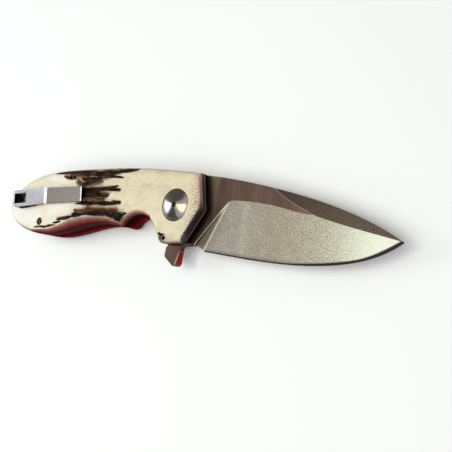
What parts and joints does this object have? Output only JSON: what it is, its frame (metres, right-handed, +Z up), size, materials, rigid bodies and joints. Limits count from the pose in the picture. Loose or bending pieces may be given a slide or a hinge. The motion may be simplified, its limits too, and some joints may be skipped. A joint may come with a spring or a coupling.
{
  "type": "folding pocket knife",
  "caption": "Folding pocket knife with a drop-point blade on a ball-bearing pivot, flipper tab, liner lock, stag scales and a folded pocket clip.",
  "frame": {"origin": "under the middle of the open knife's box, on the surface that its show-side scale lies on", "axes": "+X from the handle to the blade tip, +Y to the spine, +Z up, out of the clip side"},
  "size_m": [0.1894, 0.0378, 0.019],
  "materials": {
    "stag": "polished stag antler with dark bark left in its grooves",
    "red_fibre": "thin red vulcanised fibre",
    "liner_steel": "darkened satin steel",
    "blade_steel": "stonewashed bevels, satin flats",
    "clip_steel": "satin spring steel",
    "turned_steel": "turned bright steel",
    "screw_steel": "bright steel",
    "black_laminate": "black glass-fibre laminate",
    "bronze": "phosphor bronze strip",
    "bearing_steel": "polished bearing steel"
  },
  "bodies": {
    "handle": {"scale_clip_side": "stag", "scale_show_side": "stag", "spacer_clip_side": "red_fibre", "spacer_show_side": "red_fibre", "liner_clip_side": "liner_steel", "liner_show_side": "liner_steel", "backspacer": "black_laminate", "stop_pin": "screw_steel", "pivot_barrel": "turned_steel", "pivot_screw": "turned_steel", "pocket_clip": "clip_steel", "clip_screw": "screw_steel", "race_clip_side": "bearing_steel", "race_show_side": "bearing_steel", "scale_screws_clip_side": "screw_steel", "scale_screws_show_side": "screw_steel", "liner_screws_clip_side": "screw_steel", "liner_screws_show_side": "screw_steel"},
    "blade": {"blade": "blade_steel"},
    "lock": {"lock_bar": "liner_steel", "detent_ball": "bearing_steel"},
    "bearings": {"bearing_cage_clip_side": "bronze", "bearing_cage_show_side": "bronze", "bearing_balls_clip_side": "bearing_steel", "bearing_balls_show_side": "bearing_steel"}
  },
  "joints": [
    {"name": "blade_pivot", "type": "hinge", "parent": "handle", "child": "blade", "pos_m": [0.00486, 0.00451, 0.0075], "axis": [0, 0, 1], "range_deg": [-170, 0], "deforming": ["lock_bar", "detent_ball"]},
    {"name": "lock_release", "type": "hinge", "parent": "handle", "child": "lock", "pos_m": [-0.05512, 0.00451, 0.01025], "axis": [0, -1, 0], "range_deg": [0, 1.5], "stiffness_Nm_per_rad": 4},
    {"name": "bearing_spin", "type": "hinge", "parent": "handle", "child": "bearings", "pos_m": [0.00486, 0.00451, 0.0075], "axis": [0, 0, 1], "range_deg": [-85, 0]}
  ],
  "couplings": [
    {"joint": "bearing_spin", "follows": "blade_pivot", "ratio": 0.5}
  ]
}
